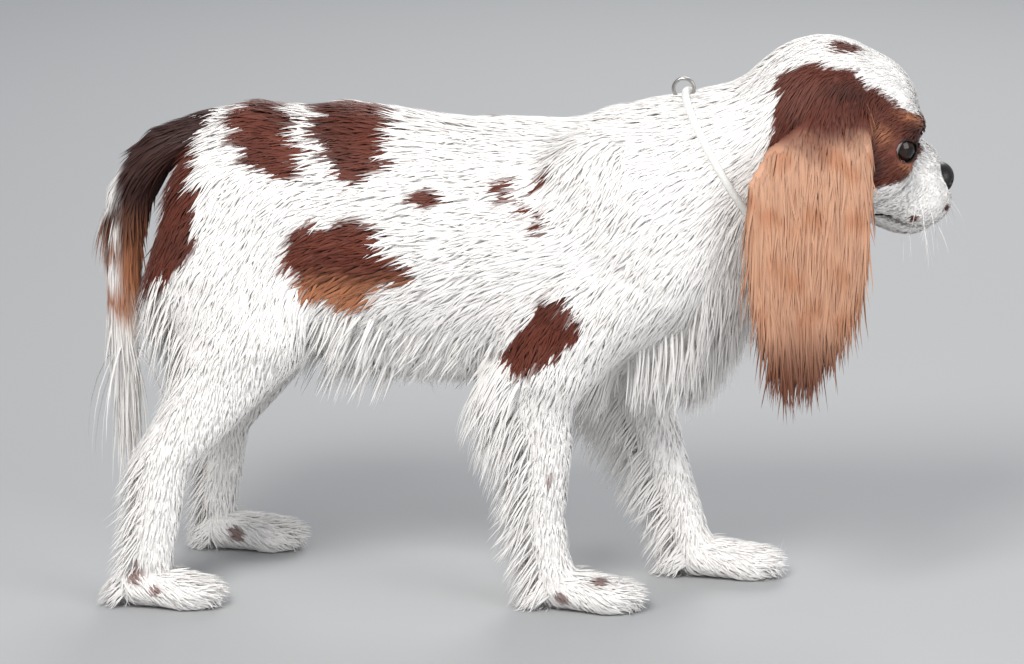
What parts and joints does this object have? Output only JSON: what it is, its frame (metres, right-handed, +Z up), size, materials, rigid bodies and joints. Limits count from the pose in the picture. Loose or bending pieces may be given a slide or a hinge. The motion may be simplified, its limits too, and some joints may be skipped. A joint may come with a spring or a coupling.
{
  "type": "cavalier king charles spaniel model",
  "caption": "Life-size standing Cavalier King Charles spaniel with a chestnut and white coat, long feathered ears, tail plume and a thin cord collar.",
  "frame": {"origin": "middle of the dog's bounding box, on the floor under the paws", "axes": "+X towards the nose, +Y to the dog's left, +Z up"},
  "size_m": [0.5518, 0.1718, 0.3724],
  "materials": {
    "coat": "silky white hair, matte",
    "chestnut": "silky chestnut hair, matte",
    "eye": "wet, dark brown",
    "nose": "moist, black, pebbled",
    "cord": "smooth white braided cord",
    "steel": "bright"
  },
  "bodies": {
    "root": {"head": "coat", "neck": "coat", "nose": "nose", "eye_right": "eye", "eye_left": "eye", "hindleg_right": "coat", "hindpaw_right": "coat", "hindleg_left": "coat", "hindpaw_left": "coat", "foreleg_right": "coat", "forepaw_right": "coat", "foreleg_left": "coat", "forepaw_left": "coat", "torso": "coat", "tail": "coat", "ear_right": "chestnut", "ear_left": "chestnut", "collar": "cord", "collar_ring": "steel"}
  },
  "joints": []
}
